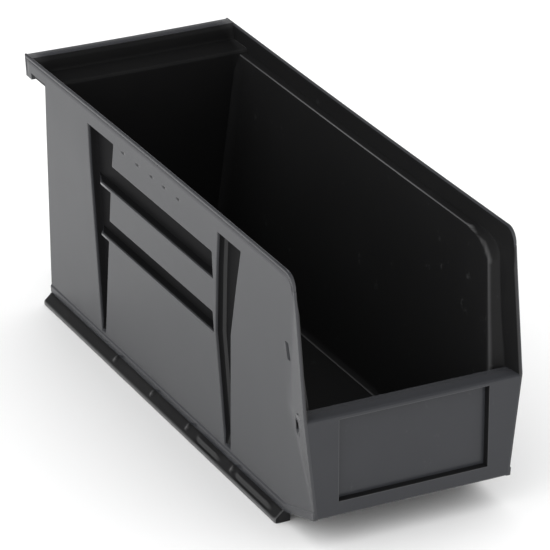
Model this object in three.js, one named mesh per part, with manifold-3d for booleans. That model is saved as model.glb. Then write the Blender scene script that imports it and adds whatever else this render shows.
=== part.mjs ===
// Open-fronted stack-and-hang storage bin, moulded in black plastic.
//
// Frame: millimetres, +Z up. The bin rests on its two foot rails at Z = 0, is centred on X = 0 and
// its open hopper front faces -Y. Inside this file Y is measured back from the front face, and the
// whole group is moved at the end so that the footprint is centred on the origin.
//
// The bin is one moulding. Each named mesh is one functional region of it: the double side walls
// (inner wall, outer skin, and the webs and shelves between them), the rim, the stacking ledge,
// the foot rails, the label front and the rear hanger.

import * as THREE from 'three';
import { mergeVertices } from 'three/addons/utils/BufferGeometryUtils.js';
import Module from 'manifold-3d';

const wasm = await Module();
wasm.setup();

// ---------------------------------------------------------------- driving dimensions, mm

const LENGTH = 375; // front face to the back of the hanger hook
const HEIGHT = 163; // foot rail underside to rim top
const RIM_OUTER = 69; // half width over the rim
const RIM_INNER = 66.9; // half width between the rim bands

const SKIN_WALL = 2.2; // outer skin, floor and front panel thickness
const INNER_WALL = 1.8; // inner wall thickness
const WEB = 1.2; // webs of the channels and pockets
const FIT = 0.1; // clearance left where two sloping faces meet

const FLOOR_Z = 9.5; // inside floor
const FLOOR_UNDER_Z = FLOOR_Z - SKIN_WALL;
const LEDGE_Z = 151; // stacking ledge, top face
const LEDGE_UNDER_Z = LEDGE_Z - 2;
const LEDGE_INNER = 61; // half width between the ledges
const LIP_Z = 80.5; // top of the low front
const LIP_UNDER_Z = LIP_Z - 2.2;
const LIP_DEPTH = 13;

const RAMP_LENGTH = 37; // the underside rises towards the front over this length
const FRONT_FOOT_Z = 19; // underside of the front panel
const FRONT_WALL_Y = 3.8; // front face of the inner front wall
const FRONT_WALL = 2.2;
const FRONT_LEAN = [[0.8, LIP_Z], [11.6, LEDGE_Z]]; // leaning front edge of the sides
const RIM_CORNER = { y: 21, z: 153.5, radius: 9.5 };
const BORDER_BACK_Y = 28; // where the front border hands over to the outer skin

const RETURN_Y = 23.4; // front return of the double wall: y at its mid height
const RETURN_Z = 137;
const LEDGE_FRONT_Y = 42; // where the ledge starts to turn down into the return

const BACK_FOOT_Y = 361.5; // back wall outer face at z = 9
const BACK_LEAN = 0.1124; // back wall lean, mm of y per mm of z
const BACK_WALL = 2;

const HANGER_SHELF_TOP_Z = 153.3;
const HOOK_Z = 149; // lower edge of the hanger hook
const HANGER_LEG_Y = 363; // front leg of the rear lip
const HOOK_Y = 373; // front face of the hook leg
const HANGER_WALL = 2;

const RAIL = { inner: 57, outer: 66.4, edge: 3, shoulder: 61.8, shoulderZ: 6.8, front: 38.5, back: 361 };
const RAIL_HOLLOW = { inner: 59, outer: 63.4, top: 3.2, count: 5, web: 3 };
const GUSSET_YS = [99, 158, 207, 259]; // small gussets on top of each rail
const SKIRT = { height: 3.8, proud: 0.9 }; // thicker strip along the foot of the skin

// Leaning side faces: half width = half + dy * y + dz * z.
const SKIN = { half: 60, dy: 0, dz: 0.0552 };
const INNER = { half: 50.53, dy: 0, dz: 0.07025 };
const FRONT_TOP_HALF = 68; // half width of the front at the top of the lip
const LOWER_FLARE = flareThroughLip(0.113);
const UPPER_FLARE = flareThroughLip(0.0293);

// Tapered channels in each side: rows of [z, front edge y, rear edge y].
const REAR_CHANNEL = [[13, 279.5, 284], [LEDGE_Z, 247.6, 283.4]];
const FRONT_CHANNEL = [[14, 107, 114], [91, 97.3, 116.4], [LEDGE_Z, 78, 107]];

// Horizontal pockets in each side; they run back into the rear channel.
const UPPER_POCKET = { front: 116.5, low: 118.5, high: 134.8 };
const LOWER_POCKET = { front: 119.5, low: 83.5, high: 96 };
const POCKET_SHELF = 2; // thickness of the shelf under each pocket
const SHELF_BACK_Y = 283.2; // the shelves cross the rear channel up to here

// Slots through each front border, for a clip-in window.
const SLOTS = [
  { y: 24, low: 110, high: 118, width: 1.5 },
  { y: 14.7, low: 68.7, high: 74, width: 2 },
];

const LABEL_HALF = 46.4; // label recess in the front panel
const LABEL_Z = 28;
const LABEL_RETURN = 2.2;

const finish = {
  shell: { color: 0x242528, roughness: 0.32 },
  inside: { color: 0x18191b, roughness: 0.4 },
  groove: { color: 0x141517, roughness: 0.6 },
  rail: { color: 0x1c1d1f, roughness: 0.42 },
};

// ---------------------------------------------------------------- profiles

function halfAt(plane, y, z) {
  return plane.half + plane.dy * y + plane.dz * z;
}

// The flares above and below the lip meet on one line at its top.
function flareThroughLip(dz) {
  return { half: FRONT_TOP_HALF - dz * LIP_Z, dy: -0.15, dz };
}

function inset(plane, distance) {
  return { ...plane, half: plane.half - distance };
}

function undersideZ(y) {
  return FLOOR_UNDER_Z + (FRONT_FOOT_Z - FLOOR_UNDER_Z) * Math.max(0, 1 - y / RAMP_LENGTH);
}

function backY(z) {
  return BACK_FOOT_Y - (z - 9) * BACK_LEAN;
}

// Points of one channel edge (1 = front, 2 = rear), moved along Y by a distance.
function channelEdge(channel, edge, shift = 0) {
  return channel.map((row) => [row[edge] + shift, row[0]]);
}

function channelOutline(channel) {
  return [...channelEdge(channel, 1), ...channelEdge(channel, 2).reverse()];
}

// Front edge of the rear channel at height z.
function rearChannelFront(z) {
  const [foot, top] = REAR_CHANNEL;
  return foot[1] + ((z - foot[0]) * (top[1] - foot[1])) / (top[0] - foot[0]);
}

function pocketOutline(pocket) {
  const back = REAR_CHANNEL[0][1];
  return [[pocket.front, pocket.low], [back, pocket.low], [back, pocket.high], [pocket.front, pocket.high]];
}

// Arc of an outline about a centre, angles in degrees.
function arc(cu, cv, radius, from, to, steps = 6) {
  return Array.from({ length: steps + 1 }, (_, i) => {
    const angle = THREE.MathUtils.degToRad(from + ((to - from) * i) / steps);
    return [cu + radius * Math.cos(angle), cv + radius * Math.sin(angle)];
  });
}

// Front face of the return, moved back and down by a distance, from the lip up to the ledge.
function returnCurve(distance) {
  const width = LEDGE_FRONT_Y - RETURN_Y - distance;
  const height = LEDGE_Z - RETURN_Z - distance;
  const turn = arc(0, 0, 1, 180, 90).map(([u, v]) => [LEDGE_FRONT_Y + u * width, RETURN_Z + v * height]);
  return [[LIP_DEPTH + distance, LIP_Z], ...turn];
}

// ---------------------------------------------------------------- solids

function toSolid(geometry) {
  geometry.deleteAttribute('normal');
  geometry.deleteAttribute('uv');
  const merged = mergeVertices(geometry, 1e-4);
  return new wasm.Manifold(new wasm.Mesh({
    numProp: 3,
    vertProperties: new Float32Array(merged.attributes.position.array),
    triVerts: new Uint32Array(merged.index.array),
  }));
}

function toGeometry(solid) {
  const mesh = solid.getMesh();
  const geometry = new THREE.BufferGeometry();
  geometry.setAttribute('position', new THREE.BufferAttribute(mesh.vertProperties, 3));
  geometry.setIndex(new THREE.BufferAttribute(mesh.triVerts, 1));
  geometry.computeVertexNormals();
  return geometry;
}

function extrude(outline, depth) {
  const shape = new THREE.Shape(outline.map(([u, v]) => new THREE.Vector2(u, v)));
  return new THREE.ExtrudeGeometry(shape, { depth, bevelEnabled: false });
}

// Outline in (y, z), extruded from x0 to x1.
function alongX(outline, x0 = -80, x1 = 80) {
  const geometry = extrude(outline, x1 - x0);
  geometry.rotateX(Math.PI / 2);
  geometry.rotateZ(Math.PI / 2);
  geometry.translate(x0, 0, 0);
  return toSolid(geometry);
}

// Outline in (x, z), extruded from y0 to y1.
function alongY(outline, y0, y1) {
  const geometry = extrude(outline, y1 - y0);
  geometry.rotateX(Math.PI / 2);
  geometry.translate(0, y1, 0);
  return toSolid(geometry);
}

// Outline in (x, y), extruded from z0 to z1.
function alongZ(outline, z0, z1) {
  const geometry = extrude(outline, z1 - z0);
  geometry.translate(0, 0, z0);
  return toSolid(geometry);
}

// Box on one side of the bin, between two half widths; side is -1 for left and +1 for right.
function sideBox(side, half0, half1, y0, y1, z0, z1) {
  const geometry = new THREE.BoxGeometry(half1 - half0, y1 - y0, z1 - z0);
  geometry.translate((side * (half0 + half1)) / 2, (y0 + y1) / 2, (z0 + z1) / 2);
  return toSolid(geometry);
}

// Plate with a (y, z) outline whose outside face lies in a leaning plane.
function leaningPlate(side, outline, plane, thickness) {
  const geometry = extrude(outline, thickness);
  geometry.rotateX(Math.PI / 2);
  geometry.rotateZ(Math.PI / 2);
  geometry.translate(side > 0 ? plane.half - thickness : -plane.half, 0, 0);
  const shear = new THREE.Matrix4().set(
    1, side * plane.dy, side * plane.dz, 0,
    0, 1, 0, 0,
    0, 0, 1, 0,
    0, 0, 0, 1,
  );
  geometry.applyMatrix4(shear);
  return toSolid(geometry);
}

// Symmetric (x, z) outline between two heights that follows a leaning plane at y = 0.
function symmetricOutline(plane, z0, z1) {
  return [
    [-halfAt(plane, 0, z0), z0],
    [halfAt(plane, 0, z0), z0],
    [halfAt(plane, 0, z1), z1],
    [-halfAt(plane, 0, z1), z1],
  ];
}

// Everything inside the outer faces of one side, brought in by a distance.
function sideBulk(side, distance) {
  const top = LEDGE_Z + 5;
  const whole = [[-5, -5], [LENGTH + 5, -5], [LENGTH + 5, top], [-5, top]];
  const low = [[-5, -5], [BORDER_BACK_Y, -5], [BORDER_BACK_Y, LIP_Z], [-5, LIP_Z]];
  const high = [[-5, LIP_Z], [BORDER_BACK_Y, LIP_Z], [BORDER_BACK_Y, top], [-5, top]];
  return leaningPlate(side, whole, inset(SKIN, distance), 30)
    .add(leaningPlate(side, low, inset(LOWER_FLARE, distance), 30))
    .add(leaningPlate(side, high, inset(UPPER_FLARE, distance), 30));
}

// Everything inside a face parallel to the inner wall.
function innerBulk(side, distance) {
  const outline = [[-5, -5], [LENGTH + 5, -5], [LENGTH + 5, HEIGHT], [-5, HEIGHT]];
  return leaningPlate(side, outline, inset(INNER, distance), 40);
}

// Space between the outer skin and the inner wall of one side.
function hollow(side) {
  return sideBulk(side, SKIN_WALL + FIT).subtract(innerBulk(side, -INNER_WALL - FIT));
}

// ---------------------------------------------------------------- floor, front and back

function floorPanel() {
  const half = halfAt(SKIN, 0, FLOOR_UNDER_Z) - SKIN_WALL - FIT;
  const outline = [[-half, RAMP_LENGTH], [half, RAMP_LENGTH], [half, BACK_FOOT_Y], [-half, BACK_FOOT_Y]];
  return alongZ(outline, FLOOR_UNDER_Z, FLOOR_Z);
}

function frontRamp() {
  const outline = [
    [SKIN_WALL, undersideZ(SKIN_WALL)],
    [RAMP_LENGTH, FLOOR_UNDER_Z],
    [RAMP_LENGTH, FLOOR_Z],
    [SKIN_WALL, undersideZ(SKIN_WALL) + SKIN_WALL],
  ];
  const section = symmetricOutline(inset(SKIN, SKIN_WALL + FIT), 0, FRONT_FOOT_Z + 5);
  return alongX(outline).intersect(alongY(section, 0, RAMP_LENGTH));
}

function frontPanel() {
  const plate = alongY(symmetricOutline(LOWER_FLARE, FRONT_FOOT_Z, LIP_UNDER_Z), 0, SKIN_WALL);
  const opening = [[-LABEL_HALF, LABEL_Z], [LABEL_HALF, LABEL_Z], [LABEL_HALF, LIP_Z], [-LABEL_HALF, LIP_Z]];
  return plate.subtract(alongY(opening, -1, SKIN_WALL + 1));
}

// Side and bottom faces of the label recess, between the front panel and the inner front wall.
function labelRecessFrame() {
  const outer = LABEL_HALF + LABEL_RETURN;
  const outline = [
    [-outer, LABEL_Z - LABEL_RETURN],
    [outer, LABEL_Z - LABEL_RETURN],
    [outer, LIP_UNDER_Z],
    [LABEL_HALF, LIP_UNDER_Z],
    [LABEL_HALF, LABEL_Z],
    [-LABEL_HALF, LABEL_Z],
    [-LABEL_HALF, LIP_UNDER_Z],
    [-outer, LIP_UNDER_Z],
  ];
  return alongY(outline, SKIN_WALL, FRONT_WALL_Y);
}

function frontInnerWall() {
  const back = FRONT_WALL_Y + FRONT_WALL;
  const rampTop = (y) => undersideZ(y) + SKIN_WALL + FIT;
  const outline = [
    [FRONT_WALL_Y, rampTop(FRONT_WALL_Y)],
    [back, rampTop(back)],
    [back, LIP_UNDER_Z],
    [FRONT_WALL_Y, LIP_UNDER_Z],
  ];
  const section = symmetricOutline(inset(INNER, -INNER_WALL), 0, LIP_Z);
  return alongX(outline).intersect(alongY(section, 0, LIP_DEPTH));
}

function frontTopLip() {
  const full = halfAt(LOWER_FLARE, 0, LIP_Z);
  const between = (y) => halfAt(LOWER_FLARE, y, LIP_UNDER_Z) - SKIN_WALL - FIT;
  const outline = [
    [-full, 0],
    [full, 0],
    [full, SKIN_WALL],
    [between(SKIN_WALL), SKIN_WALL],
    [between(LIP_DEPTH), LIP_DEPTH],
    [-between(LIP_DEPTH), LIP_DEPTH],
    [-between(SKIN_WALL), SKIN_WALL],
    [-full, SKIN_WALL],
  ];
  return alongZ(outline, LIP_UNDER_Z, LIP_Z);
}

function backWall() {
  const outline = [
    [backY(FLOOR_Z) - BACK_WALL, FLOOR_Z],
    [backY(FLOOR_Z), FLOOR_Z],
    [backY(LEDGE_Z), LEDGE_Z],
    [backY(LEDGE_Z) - BACK_WALL, LEDGE_Z],
  ];
  const section = symmetricOutline(inset(SKIN, SKIN_WALL + FIT), 0, LEDGE_Z + 5);
  return alongX(outline).intersect(alongY(section, 0, LENGTH));
}

function hangerShelf() {
  const front = backY(LEDGE_Z) - BACK_WALL;
  const back = HANGER_LEG_Y + HANGER_WALL;
  const outline = [[front, LEDGE_Z], [back, LEDGE_Z], [back, HANGER_SHELF_TOP_Z], [front, HANGER_SHELF_TOP_Z]];
  return alongX(outline, -RIM_INNER, RIM_INNER);
}

// Rear lip: front leg on the shelf, a top, and the hook leg that drops behind.
function hangerLip() {
  const radius = 1.6;
  const outline = [
    [HANGER_LEG_Y, HANGER_SHELF_TOP_Z],
    [HANGER_LEG_Y + HANGER_WALL, HANGER_SHELF_TOP_Z],
    [HANGER_LEG_Y + HANGER_WALL, HEIGHT - HANGER_WALL],
    [HOOK_Y, HEIGHT - HANGER_WALL],
    [HOOK_Y, HOOK_Z],
    [LENGTH, HOOK_Z],
    ...arc(LENGTH - radius, HEIGHT - radius, radius, 0, 90, 4),
    ...arc(HANGER_LEG_Y + radius, HEIGHT - radius, radius, 90, 180, 4),
  ];
  return alongX(outline, -RIM_INNER, RIM_INNER);
}

// ---------------------------------------------------------------- double side walls

function cutSlots(side, solid) {
  return SLOTS.reduce((result, slot) => {
    const half = slot.width / 2;
    return result.subtract(sideBox(side, 50, 80, slot.y - half, slot.y + half, slot.low, slot.high));
  }, solid);
}

// Strip along the foot of the side that stands slightly proud of it.
function skirt(side, y0, y1) {
  const edge = [y0, RAMP_LENGTH, y1].filter((y) => y <= y1);
  const outline = [
    ...edge.map((y) => [y, undersideZ(y)]),
    ...edge.reverse().map((y) => [y, undersideZ(y) + SKIRT.height]),
  ];
  return leaningPlate(side, outline, inset(SKIN, -SKIRT.proud), SKIRT.proud + 1);
}

function frontBorder(side) {
  const outline = [
    [SKIN_WALL, undersideZ(SKIN_WALL)],
    [BORDER_BACK_Y, undersideZ(BORDER_BACK_Y)],
    [BORDER_BACK_Y, LEDGE_Z],
    [FRONT_LEAN[1][0], LEDGE_Z],
    [FRONT_LEAN[0][0], LIP_Z],
    [SKIN_WALL, LIP_Z],
  ];
  const sheet = sideBulk(side, 0).subtract(sideBulk(side, SKIN_WALL));
  return cutSlots(side, sheet.intersect(alongX(outline))).add(skirt(side, SKIN_WALL, BORDER_BACK_Y));
}

function outerSkin(side) {
  const outline = [
    [BORDER_BACK_Y, undersideZ(BORDER_BACK_Y)],
    [RAMP_LENGTH, FLOOR_UNDER_Z],
    [BACK_FOOT_Y, FLOOR_UNDER_Z],
    [backY(LEDGE_Z), LEDGE_Z],
    [BORDER_BACK_Y, LEDGE_Z],
  ];
  const openings = [
    channelOutline(REAR_CHANNEL),
    channelOutline(FRONT_CHANNEL),
    pocketOutline(UPPER_POCKET),
    pocketOutline(LOWER_POCKET),
  ];
  const sheet = leaningPlate(side, outline, SKIN, SKIN_WALL);
  return openings
    .reduce((skin, opening) => skin.subtract(alongX(opening)), sheet)
    .add(skirt(side, BORDER_BACK_Y, RAIL.back));
}

function innerWall(side) {
  const front = FRONT_WALL_Y + FRONT_WALL;
  const back = (z) => backY(z) - BACK_WALL - FIT;
  const outline = [
    [front, undersideZ(front) + SKIN_WALL + FIT],
    [RAMP_LENGTH, FLOOR_Z + FIT],
    [RAMP_LENGTH, FLOOR_Z],
    [back(FLOOR_Z), FLOOR_Z],
    [back(LEDGE_UNDER_Z), LEDGE_UNDER_Z],
    ...returnCurve(SKIN_WALL + FIT).reverse(),
    [LIP_DEPTH + SKIN_WALL + FIT, LIP_UNDER_Z],
    [front, LIP_UNDER_Z],
  ];
  return leaningPlate(side, outline, inset(INNER, -INNER_WALL), INNER_WALL);
}

// Step that turns the double wall's front edge outwards and carries the ledge down to the lip.
function frontReturn(side) {
  const strip = [
    [LIP_DEPTH + SKIN_WALL, LIP_UNDER_Z],
    [LIP_DEPTH, LIP_UNDER_Z],
    ...returnCurve(0),
    ...returnCurve(SKIN_WALL).reverse(),
  ];
  const span = sideBulk(side, SKIN_WALL + FIT).subtract(innerBulk(side, 0));
  return alongX(strip).intersect(span);
}

function stackingLedge(side) {
  const back = backY(LEDGE_Z) - BACK_WALL - FIT;
  const strip = sideBox(side, LEDGE_INNER, 80, LEDGE_FRONT_Y, back, LEDGE_UNDER_Z, LEDGE_Z);
  return strip.intersect(sideBulk(side, SKIN_WALL + FIT));
}

function rimBand(side) {
  const section = [
    [RIM_INNER, HOOK_Z],
    [halfAt(SKIN, 0, HOOK_Z), HOOK_Z],
    [RIM_OUTER, HEIGHT],
    [RIM_INNER, HEIGHT],
  ].map(([half, z]) => [side * half, z]);
  const back = backY(LEDGE_Z);
  const hook = HOOK_Y - 7;
  const outline = [
    FRONT_LEAN[1],
    [back, LEDGE_Z],
    [back, HANGER_SHELF_TOP_Z],
    [hook, HANGER_SHELF_TOP_Z],
    [hook, HOOK_Z],
    [LENGTH, HOOK_Z],
    [LENGTH, HEIGHT],
    ...arc(RIM_CORNER.y, RIM_CORNER.z, RIM_CORNER.radius, 90, 180),
  ];
  return alongX(outline).intersect(alongY(section, 0, LENGTH));
}

// ---------------------------------------------------------------- webs between skin and inner wall

// Web beside a channel, up to the ledge; direction is -1 in front of the edge and +1 behind it.
function channelWeb(channel, edge, direction) {
  const face = channelEdge(channel, edge);
  const back = channelEdge(channel, edge, direction * WEB).reverse();
  const below = [[0, 0], [LENGTH, 0], [LENGTH, LEDGE_UNDER_Z], [0, LEDGE_UNDER_Z]];
  return alongX([...face, ...back]).intersect(alongX(below));
}

// Shelf, roof and front end of one pocket.
function pocketBox(pocket) {
  const back = REAR_CHANNEL[0][1];
  const shelf = pocket.low - POCKET_SHELF;
  return alongX([
    [pocket.front - WEB, shelf],
    [back, shelf],
    [back, pocket.low],
    [pocket.front, pocket.low],
    [pocket.front, pocket.high],
    [back, pocket.high],
    [back, pocket.high + WEB],
    [pocket.front - WEB, pocket.high + WEB],
  ]);
}

// Both pockets, the web in front of the rear channel, and the shelves that cross that channel.
function pocketFrame(side) {
  const fromChannel = alongX([...channelEdge(REAR_CHANNEL, 1), [LENGTH, LEDGE_Z], [LENGTH, REAR_CHANNEL[0][0]]]);
  const space = hollow(side);
  const flushSpace = sideBulk(side, 0).subtract(innerBulk(side, -INNER_WALL - FIT));
  const pockets = [UPPER_POCKET, LOWER_POCKET];
  let frame = channelWeb(REAR_CHANNEL, 1, -1);
  for (const pocket of pockets) {
    frame = frame.subtract(alongX(pocketOutline(pocket)));
  }
  for (const pocket of pockets) {
    frame = frame.add(pocketBox(pocket).subtract(fromChannel));
  }
  frame = frame.intersect(space);
  for (const pocket of pockets) {
    const low = pocket.low - POCKET_SHELF;
    const front = rearChannelFront(low);
    const inner = sideBox(side, 40, 80, front - 2 * WEB, SHELF_BACK_Y, low, pocket.low);
    const flush = sideBox(side, 40, 80, front + FIT, SHELF_BACK_Y, low, pocket.low);
    frame = frame.add(inner.intersect(space)).add(flush.intersect(flushSpace));
  }
  return frame;
}

// ---------------------------------------------------------------- foot rails

function footRail(side) {
  const section = [
    [RAIL.inner, 0],
    [RAIL.outer, 0],
    [RAIL.outer, RAIL.edge],
    [RAIL.shoulder, RAIL.shoulderZ],
    [RAIL.shoulder, FLOOR_UNDER_Z],
    [RAIL.inner, FLOOR_UNDER_Z],
  ].map(([half, z]) => [side * half, z]);
  const gusset = [
    [RAIL.shoulder - 1, RAIL.edge - 1],
    [RAIL.outer - 1, RAIL.edge - 1],
    [RAIL.outer - 1, RAIL.edge + 1.6],
    [RAIL.shoulder, FLOOR_UNDER_Z],
    [RAIL.shoulder - 1, FLOOR_UNDER_Z],
  ].map(([half, z]) => [side * half, z]);
  let rail = alongY(section, RAIL.front, RAIL.back);
  const bay = (RAIL.back - RAIL.front - RAIL_HOLLOW.web) / RAIL_HOLLOW.count;
  for (let i = 0; i < RAIL_HOLLOW.count; i += 1) {
    const start = RAIL.front + RAIL_HOLLOW.web + i * bay;
    const end = start + bay - RAIL_HOLLOW.web;
    rail = rail.subtract(sideBox(side, RAIL_HOLLOW.inner, RAIL_HOLLOW.outer, start, end, -1, RAIL_HOLLOW.top));
  }
  for (const y of GUSSET_YS) {
    rail = rail.add(alongY(gusset, y - 1, y + 1).subtract(sideBox(side, 50, 80, 0, LENGTH, -1, RAIL.edge)));
  }
  return rail;
}

// ---------------------------------------------------------------- the assembly

const bin = new THREE.Group();
bin.position.y = -LENGTH / 2;

function add(name, solid, look) {
  const material = new THREE.MeshStandardMaterial({ ...finish[look], metalness: 0 });
  const mesh = new THREE.Mesh(toGeometry(solid), material);
  mesh.name = name;
  bin.add(mesh);
}

add('floor_panel', floorPanel(), 'inside');
add('front_ramp', frontRamp(), 'inside');
add('front_panel', frontPanel(), 'shell');
add('front_top_lip', frontTopLip(), 'shell');
add('front_inner_wall', frontInnerWall(), 'shell');
add('label_recess_frame', labelRecessFrame(), 'groove');
add('back_wall', backWall(), 'inside');
add('rear_hanger_shelf', hangerShelf(), 'inside');
add('rear_hanger_lip', hangerLip(), 'shell');

for (const [side, hand] of [[-1, 'left'], [1, 'right']]) {
  const space = hollow(side);
  add(`${hand}_inner_wall`, innerWall(side), 'inside');
  add(`${hand}_outer_skin`, outerSkin(side), 'shell');
  add(`${hand}_front_border`, frontBorder(side), 'shell');
  add(`${hand}_front_return`, frontReturn(side), 'inside');
  add(`${hand}_stacking_ledge`, stackingLedge(side), 'inside');
  add(`${hand}_rim_band`, rimBand(side), 'shell');
  add(`${hand}_foot_rail`, footRail(side), 'rail');
  add(`${hand}_pocket_frame`, pocketFrame(side), 'groove');
  add(`${hand}_rear_channel_web`, channelWeb(REAR_CHANNEL, 2, 1).intersect(space), 'groove');
  add(`${hand}_front_channel_front_web`, channelWeb(FRONT_CHANNEL, 1, -1).intersect(space), 'groove');
  add(`${hand}_front_channel_rear_web`, channelWeb(FRONT_CHANNEL, 2, 1).intersect(space), 'groove');
}

export default bin;
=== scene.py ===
"""Looks of an open-fronted stack-and-hang storage bin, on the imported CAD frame.

The bin is one glossy black moulding. The side walls, the low front and the floor are closed shells
between two smooth surfaces, sampled on a grid whose lines follow the edges of the moulding, so
every groove, pocket and rim has a rounded edge in the mesh. The back wall and the foot rails are
swept sections. Lengths are millimetres, measured back from the front face along Y, and
to_frame() turns them into metres in the CAD frame. The camera and the light are in metres.
"""

import math

import bmesh
import bpy
import numpy as np
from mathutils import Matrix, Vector

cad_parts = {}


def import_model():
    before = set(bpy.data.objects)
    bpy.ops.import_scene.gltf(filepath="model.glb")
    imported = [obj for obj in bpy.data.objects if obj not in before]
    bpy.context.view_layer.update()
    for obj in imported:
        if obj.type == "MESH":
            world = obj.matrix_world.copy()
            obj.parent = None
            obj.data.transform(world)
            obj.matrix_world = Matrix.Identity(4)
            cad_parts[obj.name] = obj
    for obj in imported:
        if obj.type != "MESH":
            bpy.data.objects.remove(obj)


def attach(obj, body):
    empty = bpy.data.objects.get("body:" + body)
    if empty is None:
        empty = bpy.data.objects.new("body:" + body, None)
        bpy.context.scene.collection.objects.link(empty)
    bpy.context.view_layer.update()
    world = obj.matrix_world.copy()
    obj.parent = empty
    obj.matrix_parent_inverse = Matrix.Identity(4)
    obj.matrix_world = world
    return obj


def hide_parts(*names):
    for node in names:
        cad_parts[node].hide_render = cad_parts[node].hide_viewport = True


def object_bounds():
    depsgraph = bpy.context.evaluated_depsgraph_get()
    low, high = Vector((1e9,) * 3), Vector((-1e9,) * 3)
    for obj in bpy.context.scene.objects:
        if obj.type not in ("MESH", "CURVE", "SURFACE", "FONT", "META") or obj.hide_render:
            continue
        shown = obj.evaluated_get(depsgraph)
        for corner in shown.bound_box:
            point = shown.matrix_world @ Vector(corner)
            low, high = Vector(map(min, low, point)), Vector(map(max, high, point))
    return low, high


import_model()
CAD_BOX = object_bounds()

# ---------------------------------------------------------------- driving sizes, mm

FRONT_Y = CAD_BOX[0][1] * 1000
LENGTH = (CAD_BOX[1][1] - CAD_BOX[0][1]) * 1000
HEIGHT = CAD_BOX[1][2] * 1000
RIM_INNER = 66.9
RIM_BOW = 0.9  # inward bow of the rims at mid length
RIM_CORNER_Y = 21.0  # centre and radius of the rounded corner at the front of the rim
RIM_CORNER_Z = 153.5
RIM_CORNER_RADIUS = 9.5

FLOOR_Z = 9.5
FLOOR_UNDER = 7.3
LEDGE_Z = 151.0
LIP_Z = 80.5
LIP_DEPTH = 13.0
RAMP_LENGTH = 37.0
FRONT_FOOT_Z = 19.0
SKIN_WALL = 2.2
BACK_WALL = 2.0
EDGE_ROUND = 0.95
FILLET_RADIUS = 3.0  # along the inside corners

HOOK_Z = 149.0
SHELF_TOP_Z = 153.3
HOOK_BAND_Y = 366.0
HANGER_LIP_DEPTH = 8.0  # how much of the hanger, from the rear, keeps the shell plastic on top; in front of it the top gets painted shade

SKIRT_HEIGHT = 5.2
SKIRT_PROUD = 0.7
GROOVE_DEPTH = 5.4
SLOT_DEPTH = 1.8
MARK_DEPTH = 0.5
BEAD_DEPTH = 0.4

UPPER_POCKET = (118.5, 134.8)
LOWER_POCKET = (83.5, 96.0)
SHELF = 2.0
SHELF_BACK_Y = 281.5

# Material index of each shade level on a side wall: shell plastic, painted shade inside, painted shade in
# grooves and slots, painted half shade on fillets and dimples. The other pieces use the first two.
SHELL, INSIDE_SHADE, GROOVE_SHADE, FILLET_HALF_SHADE = range(4)


# ---------------------------------------------------------------- shape of the moulding

def to_frame(x, y, z):
    return np.stack([x / 1000, (y + FRONT_Y) / 1000, z / 1000], axis=-1)


def smooth(low, high, value):
    """0 below low, 1 above high, with rounded ends between them."""
    t = np.clip((value - low) / (high - low), 0, 1)
    return t * t * (3 - 2 * t)


def step(distance):
    """Rounded wall of a groove, from the outer face (0) to its floor (1)."""
    return smooth(-0.45, 0.85, distance)


def rounding(distance, radius=EDGE_ROUND):
    """How far a face has pulled in at a distance from a rounded edge of that radius."""
    reach = np.clip(radius - distance, 0, radius)
    return radius - np.sqrt(radius**2 - reach**2)


def underside(y):
    return FLOOR_UNDER + (FRONT_FOOT_Z - FLOOR_UNDER) * np.clip(1 - y / RAMP_LENGTH, 0, 1)


def skin_half(z):
    return 60 + 0.0552 * z


def inner_half(z):
    return 50.53 + 0.07025 * z


def back_y(z):
    return 361.5 - (z - 9) * 0.1124


def flare(y, z):
    """Half width of the flared front border, before it meets the skin."""
    slope = np.where(z < LIP_Z, 0.113, 0.0293)
    return 68 + slope * (z - LIP_Z) - 0.15 * y


def outer_half(y, z):
    """Skin and flare blended into one smooth outer face, widening into the rim band."""
    skin = skin_half(z)
    lift = flare(y, z) - skin
    return skin + 0.5 * (lift + np.sqrt(lift**2 + 0.1)) * smooth(30, 22, y)


def front_y(z):
    """Leaning front edge of the side, with the rounded corner at the top of the rim."""
    lean = np.clip(z - LIP_Z, 0, None) * (10.8 / 70.5)
    above = np.clip(z - RIM_CORNER_Z, 0, None)
    corner = RIM_CORNER_Y - np.sqrt(np.clip(RIM_CORNER_RADIUS**2 - above**2, 0, None))
    return np.where(z > RIM_CORNER_Z, corner, np.minimum(lean, RIM_CORNER_Y - RIM_CORNER_RADIUS))


def rear_y(z):
    return np.minimum(back_y(z), back_y(12.0)) * (z < LEDGE_Z) + back_y(LEDGE_Z) * (z >= LEDGE_Z)


def between(z, rows):
    """Piecewise linear edge through rows of (z, y)."""
    heights, values = zip(*rows)
    return np.interp(z, heights, values)


def front_channel_front(z):
    return between(z, [(14, 107), (91, 97.3), (151, 78)])


def front_channel_rear(z):
    return between(z, [(14, 114), (85, 117), (151, 107)])


def rear_channel_front(z):
    return between(z, [(13, 279.5), (151, 247.6)])


def rear_channel_rear(z):
    return between(z, [(13, 284), (151, 283.4)])


def pocket_front(z):
    return between(z, [(96, 119.8), (118, 116.5)])


# The front edge of the double wall turns into the ledge along a quarter ellipse.
TURN_END_Y = 42.0
TURN_START_Z = 137.0
TURN_REACH_Y = 18.6
TURN_RISE = LEDGE_Z - TURN_START_Z


def return_rise(z):
    return between(z, [(LIP_Z, LIP_DEPTH), (TURN_START_Z, TURN_END_Y - TURN_REACH_Y)])


def return_y(z):
    """Front edge of the double wall: up from the lip, then round into the ledge."""
    turn = np.clip((z - TURN_START_Z) / TURN_RISE, 0, 1)
    return return_rise(z) + TURN_REACH_Y * (1 - np.sqrt(1 - turn**2))


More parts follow.
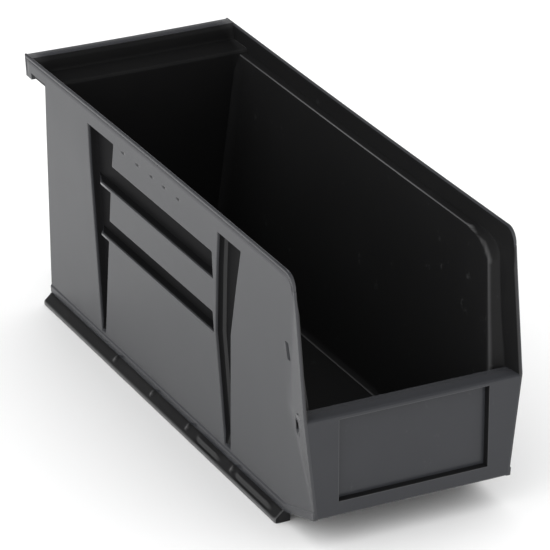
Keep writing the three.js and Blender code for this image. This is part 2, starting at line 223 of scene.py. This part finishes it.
def double_wall(y, z):
    """1 where the side is double, 0 in front of the return and above the ledge."""
    across = np.clip(TURN_END_Y - y, 0, None) / TURN_REACH_Y
    up = np.clip(z - TURN_START_Z, 0, None) / TURN_RISE
    ratio = np.maximum(np.hypot(across, up), 1e-6)
    slope = np.hypot(across / TURN_REACH_Y, up / TURN_RISE) / ratio
    turn = (1 - ratio) / np.maximum(slope, 1e-6)
    inside = np.where(z < TURN_START_Z, y - return_rise(z), turn)
    inside = np.where(y > TURN_END_Y, LEDGE_Z - z, inside)
    width = 0.12 + 5.6 * smooth(TURN_END_Y + 16, TURN_END_Y - TURN_REACH_Y, y)
    return smooth(0, 1, inside / width)


def slots(y, z):
    """Narrow slots that follow the front edge, for a clip-in window."""
    behind = y - return_y(np.minimum(z, LEDGE_Z))
    upper = smooth(1.9, 1.0, np.abs(behind - 4.0)) * smooth(4.6, 3.8, np.abs(z - 114))
    lower = smooth(2.4, 1.9, np.abs(behind - 1.7)) * smooth(3.4, 2.4, np.abs(z - 71.3))
    return np.maximum(upper, lower)


MARKS = (159.0, 178.0, 195.0, 214.0, 234.0)
MARKS_Z = 150.4
MARK_HALF = (2.0, 0.95)  # along and up


def marks(y, z):
    """Small dimples in a row above the pockets."""
    along, up = MARK_HALF
    spots = [1 - np.hypot((y - at) / along, (z - MARKS_Z) / up) for at in MARKS]
    return smooth(0, 0.55, np.max(spots, axis=0))


def groove(y, z):
    """Depth of the channels and pockets in the side, as a share of the full depth.

    The rear edge of the front channel meets its floor in a wide fillet.
    """
    top = smooth(0.25, 0.65, LEDGE_Z - z)
    foot = smooth(12.5, 18.5, z)
    into = front_channel_rear(z) - y
    front = step(y - front_channel_front(z)) * (0.6 * step(into) + 0.4 * smooth(0.4, 3.4, into))
    rear = step(y - rear_channel_front(z)) * step(rear_channel_rear(z) - y)
    for low in (UPPER_POCKET[0] - SHELF, LOWER_POCKET[0] - SHELF):
        shelf = smooth(-0.3, 0.3, z - low) * smooth(-0.3, 0.3, low + SHELF - z)
        rear = rear * (1 - shelf * smooth(SHELF_BACK_Y + 0.6, SHELF_BACK_Y - 0.3, y))
    depth = np.maximum(front, rear) * top * foot
    for low, high in (UPPER_POCKET, LOWER_POCKET):
        along = step(y - pocket_front(z)) * step(rear_channel_front(z) + 2.5 - y)
        depth = np.maximum(depth, along * smooth(-0.35, 0.35, z - low) * step(high - z))
    return depth


# ---------------------------------------------------------------- grids

NEAR = (0.12, 0.3, 0.6, 0.9, 1.4, 2.2, 3.0, 4.0, 5.0, 6.2)


def grid_lines(gaps):
    """Lines across gaps of (narrowest width, spacing, reach), crowded within reach of each edge.

    Each line is a row of (gap, share of the gap, offset).
    """
    lines = []
    for index, (gap, spacing, reach) in enumerate(gaps):
        near = [offset for offset in NEAR if offset < min(reach, gap / 2 - 0.1)]
        margin = near[-1] if near else 0
        lines.append((index, 0.0, 0.0))
        lines += [(index, 0.0, offset) for offset in near]
        count = int((gap - 2 * margin) // spacing)
        lines += [(index, k / (count + 1), margin * (1 - 2 * k / (count + 1))) for k in range(1, count + 1)]
        lines += [(index, 1.0, -offset) for offset in reversed(near)]
    lines.append((len(gaps) - 1, 1.0, 0.0))
    return lines


def place(line, keys):
    index, share, offset = line
    return keys[index] * (1 - share) + keys[index + 1] * share + offset


def shell(name, outer, inner, keep=None, outer_shade_index=None, inner_shade_index=None):
    """Closed mesh between two matching grids of points; keep says which cells are solid.

    The shade index grids hold the material index of each cell, which sets its painted shade.
    """
    rows, columns = outer.shape[:2]
    blank = np.zeros((rows - 1, columns - 1), int)
    keep = blank == 0 if keep is None else keep
    outer_shade_index = blank if outer_shade_index is None else outer_shade_index
    inner_shade_index = blank if inner_shade_index is None else inner_shade_index
    points = np.concatenate([outer.reshape(-1, 3), inner.reshape(-1, 3)])
    base = rows * columns
    index = np.arange(base).reshape(rows, columns)
    faces = []
    shade_indices = []
    edges = {}
    for i, j in zip(*np.nonzero(keep)):
        ring = [index[i, j], index[i, j + 1], index[i + 1, j + 1], index[i + 1, j]]
        faces.append([int(v) for v in ring])
        faces.append([int(v) + base for v in reversed(ring)])
        shade_indices += [int(outer_shade_index[i, j]), int(inner_shade_index[i, j])]
        for a, b in zip(ring, ring[1:] + ring[:1]):
            if (b, a) in edges:
                del edges[(b, a)]
            else:
                edges[(a, b)] = True
    faces += [[int(b), int(a), int(a) + base, int(b) + base] for a, b in edges]
    shade_indices += [0] * len(edges)
    mesh = bpy.data.meshes.new(name)
    mesh.from_pydata([tuple(p) for p in points], [], faces)
    mesh.polygons.foreach_set("material_index", shade_indices)
    work = bmesh.new()
    work.from_mesh(mesh)
    bmesh.ops.delete(work, geom=[v for v in work.verts if not v.link_faces], context="VERTS")
    bmesh.ops.remove_doubles(work, verts=work.verts, dist=2e-6)
    bmesh.ops.recalc_face_normals(work, faces=work.faces)
    work.to_mesh(mesh)
    work.free()
    return finish_mesh(name, mesh)


def finish_mesh(name, mesh, angle=38):
    mesh.shade_smooth()
    mesh.set_sharp_from_angle(angle=math.radians(angle))
    piece = bpy.data.objects.new(name, mesh)
    bpy.context.scene.collection.objects.link(piece)
    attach(piece, "root")
    return piece


# ---------------------------------------------------------------- double side walls

SIDE_NODES = (
    "inner_wall", "outer_skin", "front_border", "front_return", "stacking_ledge", "rim_band",
    "pocket_frame", "rear_channel_web", "front_channel_front_web", "front_channel_rear_web",
)
# Gaps between the key lines of the grid, as grid_lines() takes them.
SIDE_GAPS_Y = (
    (13, 1.5, 6.5), (18, 0.9, 6.5), (18, 4, 2.5), (7, 2, 3.3), (3, 1, 2.5),
    (128, 1.3, 2.5), (4.5, 1, 2.5), (62, 5, 2.5), (20.5, 5, 2.5), (9, 3, 2.5),
)
SIDE_GAPS_Z = (
    (5.2, 1, 2.5), (5.8, 1, 2.5), (51.5, 2.2, 2.5), (2, 1, 1), (12.5, 4, 2.5), (20.5, 2.2, 2.5),
    (2, 1, 1), (16.3, 4, 2.5), (14.2, 1.2, 2.5), (2, 0.5, 1), (2.3, 1, 1), (9.7, 2, 3.3),
)
SIDE_LEVELS = (
    30.0, LOWER_POCKET[0] - SHELF, *LOWER_POCKET, UPPER_POCKET[0] - SHELF, *UPPER_POCKET,
    HOOK_Z, LEDGE_Z, SHELF_TOP_Z, HEIGHT,
)
FLAT_Y = 200.0  # a place where the underside is level


def side_keys_y(z):
    return [
        front_y(z), return_y(np.minimum(z, LEDGE_Z)), 60 + 0 * z, front_channel_front(z),
        front_channel_rear(z), pocket_front(z), rear_channel_front(z), rear_channel_rear(z),
        rear_y(z), HOOK_BAND_Y + 0 * z, LENGTH + 0 * z,
    ]


def side_keys_z(y):
    foot = underside(y)
    return [foot, foot + SKIRT_HEIGHT] + [level + 0 * y for level in SIDE_LEVELS]


def side_grid():
    columns = grid_lines(SIDE_GAPS_Y)
    rows = grid_lines(SIDE_GAPS_Z)
    level_keys = side_keys_z(np.array(FLAT_Y))
    y = np.zeros((len(rows), len(columns)))
    for i, row in enumerate(rows):
        keys = side_keys_y(np.array(place(row, level_keys)))
        y[i] = [place(column, keys) for column in columns]
    z = np.zeros_like(y)
    for i, row in enumerate(rows):
        z[i] = place(row, side_keys_z(y[i]))
    return y, z


def rim_edge(y, z):
    """Distance from the free edges of a side: the top, the leaning front and the rear."""
    corner = RIM_CORNER_RADIUS - np.hypot(y - RIM_CORNER_Y, z - RIM_CORNER_Z)
    front = np.where((z > RIM_CORNER_Z) & (y < RIM_CORNER_Y), corner, y - front_y(z))
    return np.clip(np.minimum(np.minimum(HEIGHT - z, front), LENGTH - y), 0, None)


def side_faces(y, z):
    """Half widths of the outer and inner face, with the edges between them rounded over."""
    waist = RIM_BOW * np.sin(np.pi * np.clip((y - 20) / 340, 0, 1)) * smooth(120, 160, z)
    edge = rim_edge(y, z)
    skirt = SKIRT_PROUD * smooth(SKIRT_HEIGHT + 0.3, SKIRT_HEIGHT - 1.0, z - underside(y))
    cut = GROOVE_DEPTH * groove(y, z)
    slot = SLOT_DEPTH * slots(y, z) + MARK_DEPTH * marks(y, z)
    bead = BEAD_DEPTH * np.clip(1 - np.abs(edge - 2.2) / 0.8, 0, 1) * smooth(148, 156, z)
    outer = outer_half(y, z) + skirt - waist - cut - slot - bead

    thin = np.minimum(outer_half(y, z) - SKIN_WALL, RIM_INNER)
    thin = thin + (RIM_INNER - thin) * smooth(LEDGE_Z - 12, LEDGE_Z, z)
    behind = double_wall(y, z)
    double = inner_half(z) + rounding(LEDGE_Z - 0.12 - z, 1.6)
    below = smooth(LEDGE_Z - 1, LEDGE_Z - 12, z)
    corner_fillet = rounding(back_y(z) - BACK_WALL - y, FILLET_RADIUS) * below
    floor_fillet = rounding(z - np.maximum(FLOOR_Z, underside(y) + SKIN_WALL), FILLET_RADIUS)
    inner = thin + (double - thin - corner_fillet - floor_fillet) * behind
    inner = inner - waist * (z > LEDGE_Z - 1)
    round_over = np.minimum(rounding(edge), 0.42 * (outer - inner))
    return outer - round_over, inner + round_over


def cell_centres(values):
    return (values[:-1, :-1] + values[1:, 1:]) / 2


def side_wall(side, hand):
    y, z = side_grid()
    outer, inner = side_faces(y, z)

    centre_y = cell_centres(y)
    centre_z = cell_centres(z)
    hanger = (centre_z > SHELF_TOP_Z) | ((centre_y > HOOK_BAND_Y) & (centre_z > HOOK_Z))
    keep = (centre_y < rear_y(centre_z)) | hanger
    into = front_channel_rear(centre_z) - centre_y
    grooved = groove(centre_y, centre_z) > 0.3
    # Grooves and slots get painted shade: a near black, barely shiny material on their floors.
    outer_shade_index = np.where(grooved | (slots(centre_y, centre_z) > 0.5), GROOVE_SHADE, SHELL)
    # The wide fillet of the front channel and the dimples get a painted half shade.
    soft = grooved & (into > 1.3) & (into < 2.8) | (marks(centre_y, centre_z) > 0.5)
    outer_shade_index = np.where(soft, FILLET_HALF_SHADE, outer_shade_index)
    # The inner rounding along the top of the rim keeps the shell plastic, a painted highlight against the
    # painted shade inside.
    lit_top_edge = (cell_centres(rim_edge(y, z)) < 1.0) & (centre_z > SHELF_TOP_Z)
    piece = shell(
        f"{hand}_side_wall",
        to_frame(side * outer, y, z),
        to_frame(side * inner, y, z),
        keep,
        outer_shade_index,
        np.where(lit_top_edge, SHELL, INSIDE_SHADE),
    )
    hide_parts(*[f"{hand}_{node}" for node in SIDE_NODES])
    return piece


# ---------------------------------------------------------------- sections drawn along a side

def arc(cu, cv, radius, start, end, steps=6):
    angles = np.radians(np.linspace(start, end, steps + 1))
    return [(cu + radius * math.cos(a), cv + radius * math.sin(a)) for a in angles]


def round_corners(outline, radius, steps=4):
    """Closed outline with each corner replaced by an arc-like curve."""
    result = []
    count = len(outline)
    for k in range(count):
        here = Vector(outline[k])
        before = (Vector(outline[k - 1]) - here)
        after = (Vector(outline[(k + 1) % count]) - here)
        reach = min(radius, before.length * 0.45, after.length * 0.45)
        start = here + before.normalized() * reach
        end = here + after.normalized() * reach
        for s in range(steps + 1):
            t = s / steps
            result.append(tuple(start * (1 - t) ** 2 + here * 2 * t * (1 - t) + end * t**2))
    return result


def sweep(name, sections, angle=38):
    """Closed mesh through a run of matching closed sections of points in the frame."""
    count = len(sections[0])
    points = [tuple(p) for section in sections for p in section]
    faces = [list(range(count))[::-1], [len(points) - count + k for k in range(count)]]
    for s in range(len(sections) - 1):
        for k in range(count):
            a = s * count + k
            b = s * count + (k + 1) % count
            faces.append([a, b, b + count, a + count])
    mesh = bpy.data.meshes.new(name)
    mesh.from_pydata(points, [], faces)
    work = bmesh.new()
    work.from_mesh(mesh)
    bmesh.ops.recalc_face_normals(work, faces=work.faces)
    bmesh.ops.triangulate(work, faces=[f for f in work.faces if len(f.verts) > 4])
    work.to_mesh(mesh)
    work.free()
    return finish_mesh(name, mesh, angle)


# ---------------------------------------------------------------- back wall and hanger lip

def back_and_hanger():
    inside = back_y(FLOOR_Z) - BACK_WALL
    top_inside = back_y(LEDGE_Z) - BACK_WALL
    outline = [(inside, FLOOR_Z - 1.0), (inside, FLOOR_Z)]
    outline += [(back_y(z) - BACK_WALL, z) for z in (40.0, 80.0, 120.0)]
    outline += arc(top_inside + 2.2, SHELF_TOP_Z - 2.2, 2.2, 180, 90)
    outline += arc(361.6, SHELF_TOP_Z + 1.4, 1.4, 270, 360, 3)
    outline += [(363.0, 156.0)]
    outline += arc(365.6, HEIGHT - 2.6, 2.6, 180, 90)
    outline += arc(LENGTH - 1.4, HEIGHT - 1.4, 1.4, 90, 0, 4)
    outline += arc(LENGTH - 1.0, HOOK_Z + 1.0, 1.0, 0, -90, 3)
    outline += arc(LENGTH - 1.2, HOOK_Z + 0.8, 0.8, 270, 180, 3)
    outline += [(373.0, 161.0), (365.0, 161.0), (365.0, LEDGE_Z)]
    outline += [(back_y(z) - 0.15, z) for z in (LEDGE_Z, 120.0, 80.0, 40.0, FLOOR_UNDER)]
    outline += [(inside, FLOOR_UNDER)]
    sections = []
    for share in np.linspace(-1, 1, 25):
        bow = RIM_BOW * (1 - share**2)
        section = []
        for y, z in outline:
            half = min(skin_half(z) - 1.0, RIM_INNER + 0.9)
            lean_in = bow * smooth(140, 156, z)
            section.append(to_frame(share * half, y - lean_in, np.array(z)))
        sections.append(section)
    piece = sweep("back_wall_and_hanger", sections)
    lip_front = (LENGTH - HANGER_LIP_DEPTH + FRONT_Y) / 1000
    # Faces inside the back wall and on top of the hanger get painted shade; the rear edge keeps the shell
    # plastic.
    for face in piece.data.polygons:
        if face.normal.y < 0.3 and face.center.y < lip_front and face.normal.z > -0.5:
            face.material_index = INSIDE_SHADE
    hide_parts("back_wall", "rear_hanger_shelf", "rear_hanger_lip")
    return piece


# ---------------------------------------------------------------- low front with the label recess

LABEL_HALF = 46.4
LABEL_Z = (28.0, 77.6)
LABEL_DEPTH = 3.8


def low_front():
    columns = grid_lines(((12, 3, 2.5), (93, 5, 2.5), (12, 3, 2.5)))
    rows = grid_lines(((9, 3, 2.5), (49, 5, 2.5), (2.9, 1, 2.5)))
    z_keys = [FRONT_FOOT_Z, LABEL_Z[0], LABEL_Z[1], LIP_Z]
    z = np.array([[place(row, z_keys)] * len(columns) for row in rows])
    x = np.zeros_like(z)
    for i, row in enumerate(rows):
        half = float(flare(0.0, np.array(place(row, z_keys)))) - 1.3
        x[i] = [place(column, [-half, -LABEL_HALF, LABEL_HALF, half]) for column in columns]
    inset = np.minimum(LABEL_HALF - np.abs(x), np.minimum(z - LABEL_Z[0], LABEL_Z[1] - z))
    recess = LABEL_DEPTH * smooth(-0.3, 0.3, inset)
    outer = recess + rounding(LIP_Z - z, 1.6) + rounding(z - FRONT_FOOT_Z, 1.1)
    lip_back = LIP_DEPTH - rounding(LIP_Z - z, 0.6)
    inner = np.where(z > LABEL_Z[1] - 0.1, lip_back, LABEL_DEPTH + SKIN_WALL)
    # The walls of the label recess get painted shade.
    shaded_recess_wall = np.abs(cell_centres(inset)) < 0.25
    recess_shade = np.where(shaded_recess_wall, 1, 0)
    piece = shell("low_front", to_frame(x, outer, z), to_frame(x, inner, z), outer_shade_index=recess_shade)
    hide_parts("front_panel", "front_top_lip", "front_inner_wall", "label_recess_frame")
    return piece


# ---------------------------------------------------------------- floor and ramp

BEND = (31, 43)  # where the ramp eases into the floor


def floor_and_ramp():
    columns = np.linspace(-1, 1, 25)
    stations = np.concatenate([np.linspace(1.2, 30, 8), np.linspace(*BEND, 9), np.linspace(50, 360.5, 40)])
    y = np.repeat(stations[:, None], len(columns), axis=1)
    bottom = underside(y)
    soft = smooth(*BEND, y)
    top = (bottom + SKIN_WALL) * (1 - soft) + FLOOR_Z * soft
    x = columns[None, :] * (skin_half(bottom) - 1.0)
    piece = shell("floor_and_ramp", to_frame(x, y, bottom), to_frame(x, y, top))
    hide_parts("floor_panel", "front_ramp")
    return piece


# ---------------------------------------------------------------- foot rails

RAIL_ENDS = (38.5, 361.0)
GUSSETS = (99.0, 158.0, 207.0, 259.0)
SCOOPS = ((46.0, 95.0), (112.0, 146.0))  # hollows on top of the rail, with a steep inner side


def rail_section(y):
    """Corners of the rail at y: a sloping top, steeper in a scoop, with a nib at each gusset."""
    scoop = max(float(smooth(low, low + 9, y) * smooth(high, high - 5, y)) for low, high in SCOOPS)
    nib = max(float(smooth(1.5, 0.5, abs(y - station))) for station in GUSSETS)
    foot = (64.9 - 0.2 * scoop, 4.2 - 1.1 * scoop)
    head = (63.4 + 0.5 * scoop + 1.4 * nib, 5.6 + 0.6 * scoop + 0.6 * nib)
    shoulder = (62.2 + 0.6 * scoop + 1.2 * nib, 6.7 + 0.4 * nib)
    return [(57, 0), (66.4, 0), (66.4, 2.9), foot, head, shoulder, (61.2, 7.4), (57, 7.4)]


def foot_rail(side, hand):
    front, back = RAIL_ENDS
    stations = [front, front + 0.2, front + 0.6, front + 1.3]
    stations += list(np.arange(front + 2.5, back - 2, 1.0))
    stations += [back - 1.3, back - 0.6, back - 0.2, back]
    sections = []
    for y in stations:
        end = min(y - front, back - y)
        pull = float(rounding(np.array(end), 1.3))
        base = round_corners(rail_section(y), 0.6, 3)
        section = []
        for half, z in base:
            height = z * (1 - 0.06 * pull)
            section.append(to_frame(side * (half - pull * (half > 62)), np.array(y), np.array(height)))
        sections.append(section)
    piece = sweep(f"{hand}_foot_rail_moulding", sections)
    for face in piece.data.polygons:
        face.material_index = int(face.normal.y < -0.8)  # the front end gets the painted shade of the groove material
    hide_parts(f"{hand}_foot_rail")
    return piece


# ---------------------------------------------------------------- black moulded plastic

def plastic(name, base, rough, edge_highlight_and_dust, grain=1.0, shine=0.5):
    """Black polypropylene: fine moulded grain, soft sink waviness, edges lightened by wear and as a painted
    highlight, and faint dust.
    """
    material = bpy.data.materials.new(name)
    material.use_nodes = True
    nodes = material.node_tree.nodes
    links = material.node_tree.links
    shader = nodes["Principled BSDF"]
    coords = nodes.new("ShaderNodeTexCoord")

    def noise(scale, detail, rough_amount=0.55):
        node = nodes.new("ShaderNodeTexNoise")
        node.inputs["Scale"].default_value = scale
        node.inputs["Detail"].default_value = detail
        node.inputs["Roughness"].default_value = rough_amount
        links.new(coords.outputs["Object"], node.inputs["Vector"])
        return node

    def spread(source, low, high, to_low, to_high):
        node = nodes.new("ShaderNodeMapRange")
        node.inputs["From Min"].default_value = low
        node.inputs["From Max"].default_value = high
        node.inputs["To Min"].default_value = to_low
        node.inputs["To Max"].default_value = to_high
        links.new(source, node.inputs["Value"])
        return node.outputs["Result"]

    patches = noise(14, 5)
    fine = noise(2600, 3)
    waves = noise(26, 2)
    scratch = noise(90, 9, 0.75)

    geometry = nodes.new("ShaderNodeNewGeometry")
    # Pointy edges are lightened towards a pale grey: partly wear, partly a painted highlight along the
    # edges.
    worn_edge_highlight = spread(geometry.outputs["Pointiness"], 0.515, 0.56, 0.0, edge_highlight_and_dust)
    dusty = spread(scratch.outputs["Fac"], 0.62, 0.8, 0.0, 0.5 * edge_highlight_and_dust)
    amount = nodes.new("ShaderNodeMath")
    amount.operation = "MAXIMUM"
    links.new(worn_edge_highlight, amount.inputs[0])
    links.new(dusty, amount.inputs[1])

    tint = nodes.new("ShaderNodeMix")
    tint.data_type = "RGBA"
    tint.inputs["A"].default_value = (*base, 1)
    tint.inputs["B"].default_value = (*[min(1, c * 1.35 + 0.002) for c in base], 1)
    links.new(patches.outputs["Fac"], tint.inputs["Factor"])
    lightened_edges = nodes.new("ShaderNodeMix")
    lightened_edges.data_type = "RGBA"
    # Pale grey of the lightened edges and dust, also the colour of the painted edge highlight.
    lightened_edges.inputs["B"].default_value = (0.13, 0.13, 0.132, 1)
    links.new(amount.outputs[0], lightened_edges.inputs["Factor"])
    links.new(tint.outputs["Result"], lightened_edges.inputs["A"])
    links.new(lightened_edges.outputs["Result"], shader.inputs["Base Color"])

    uneven = spread(patches.outputs["Fac"], 0.3, 0.7, rough - 0.04, rough + 0.05)
    links.new(uneven, shader.inputs["Roughness"])

    grain_bump = nodes.new("ShaderNodeBump")
    grain_bump.inputs["Strength"].default_value = 0.10 * grain
    grain_bump.inputs["Distance"].default_value = 0.0001
    links.new(fine.outputs["Fac"], grain_bump.inputs["Height"])
    wave_bump = nodes.new("ShaderNodeBump")
    wave_bump.inputs["Strength"].default_value = 0.05
    wave_bump.inputs["Distance"].default_value = 0.002
    links.new(waves.outputs["Fac"], wave_bump.inputs["Height"])
    links.new(grain_bump.outputs["Normal"], wave_bump.inputs["Normal"])
    links.new(wave_bump.outputs["Normal"], shader.inputs["Normal"])
    shader.inputs["IOR"].default_value = 1.5
    shader.inputs["Specular IOR Level"].default_value = shine
    return material


def give(piece, *materials):
    for material in materials:
        piece.data.materials.append(material)


# ---------------------------------------------------------------- floor, light and camera

def studio():
    mesh = bpy.data.meshes.new("studio_floor")
    half = 3.0
    corners = [(-half, -half, 0), (half, -half, 0), (half, half, 0), (-half, half, 0)]
    mesh.from_pydata(corners, [], [(0, 1, 2, 3)])
    floor = bpy.data.objects.new("studio_floor", mesh)
    bpy.context.scene.collection.objects.link(floor)
    pale = bpy.data.materials.new("pale_floor")
    pale.use_nodes = True
    shader = pale.node_tree.nodes["Principled BSDF"]
    shader.inputs["Base Color"].default_value = (0.92, 0.92, 0.92, 1)
    shader.inputs["Roughness"].default_value = 0.9
    shader.inputs["Specular IOR Level"].default_value = 0.1
    mesh.materials.append(pale)


def area_light(name, place_at, target, size, power):
    light = bpy.data.lights.new(name, "AREA")
    light.shape = "RECTANGLE"
    light.size, light.size_y = size
    light.energy = power
    lamp = bpy.data.objects.new(name, light)
    lamp.location = place_at
    lamp.rotation_euler = (Vector(target) - Vector(place_at)).to_track_quat("-Z", "Y").to_euler()
    bpy.context.scene.collection.objects.link(lamp)


def world():
    """White surroundings for diffuse light; reflections see a bright horizon and a dark ceiling."""
    scene_world = bpy.data.worlds.new("studio")
    bpy.context.scene.world = scene_world
    scene_world.use_nodes = True
    nodes = scene_world.node_tree.nodes
    links = scene_world.node_tree.links
    coords = nodes.new("ShaderNodeTexCoord")
    split = nodes.new("ShaderNodeSeparateXYZ")
    links.new(coords.outputs["Generated"], split.inputs["Vector"])
    height = nodes.new("ShaderNodeMapRange")
    height.inputs["From Min"].default_value = 0.1
    height.inputs["From Max"].default_value = 0.34
    height.inputs["To Min"].default_value = 0.82
    height.inputs["To Max"].default_value = 0.02
    links.new(split.outputs["Z"], height.inputs["Value"])
    path = nodes.new("ShaderNodeLightPath")
    strength = nodes.new("ShaderNodeMix")
    strength.inputs["A"].default_value = 1.3
    links.new(path.outputs["Is Glossy Ray"], strength.inputs["Factor"])
    links.new(height.outputs["Result"], strength.inputs["B"])
    links.new(strength.outputs["Result"], nodes["Background"].inputs["Strength"])
    nodes["Background"].inputs["Color"].default_value = (1, 1, 1, 1)


def camera():
    """Camera at the photo's viewing angle, with the target nudged to the same place in the frame."""
    azimuth = math.radians(-26.533)
    elevation = math.radians(24.648)
    aside, down, away = 0.007121, 0.002122, 2.3038
    back = Vector((
        math.sin(azimuth) * math.cos(elevation),
        -math.cos(azimuth) * math.cos(elevation),
        math.sin(elevation),
    ))
    right = Vector((0, 0, 1)).cross(back).normalized()
    up = back.cross(right)
    target = Vector((0, 0, 0.08))
    data = bpy.data.cameras.new("camera")
    data.lens = 257.6
    data.sensor_width = 36
    data.clip_end = 20
    eye = bpy.data.objects.new("camera", data)
    eye.location = target + right * aside - up * down + back * away
    eye.rotation_euler = back.to_track_quat("Z", "Y").to_euler()
    bpy.context.scene.collection.objects.link(eye)
    bpy.context.scene.camera = eye
    bpy.context.scene.view_settings.view_transform = "Standard"


# ---------------------------------------------------------------- build

shell_plastic = plastic("shell_plastic", (0.0245, 0.0255, 0.029), 0.22, 0.5, shine=0.3)
# Darker copy for the inside faces and the floor: painted shade, with strong edge lightening as a painted
# highlight.
inside_plastic = plastic("inside_plastic", (0.0108, 0.0108, 0.0111), 0.4, 1.0, shine=0.12)
# Darker still: painted shade on the inner back wall and the top of the hanger.
rear_shade_plastic = plastic("rear_shade_plastic", (0.0058, 0.0058, 0.006), 0.45, 0.1, shine=0.12)
# Near black with almost no shine: painted shade in grooves, slots, the label recess walls and the rail
# fronts.
groove_plastic = plastic("groove_plastic", (0.008, 0.008, 0.0085), 0.5, 0.1, shine=0.025)
# Darker copy: painted shade on the foot rails, and a painted half shade on channel fillets and dimples.
rail_plastic = plastic("rail_plastic", (0.012, 0.012, 0.0125), 0.34, 0.8, 1.6, shine=0.3)

for side, hand in ((-1, "left"), (1, "right")):
    give(side_wall(side, hand), shell_plastic, inside_plastic, groove_plastic, rail_plastic)
    give(foot_rail(side, hand), rail_plastic, groove_plastic)
give(back_and_hanger(), shell_plastic, rear_shade_plastic)
give(low_front(), shell_plastic, groove_plastic)
give(floor_and_ramp(), inside_plastic)

studio()
world()
area_light("left_panel", (-1.5, -0.4, 0.9), (0, 0, 0.08), (1.4, 1.2), 5)
camera()
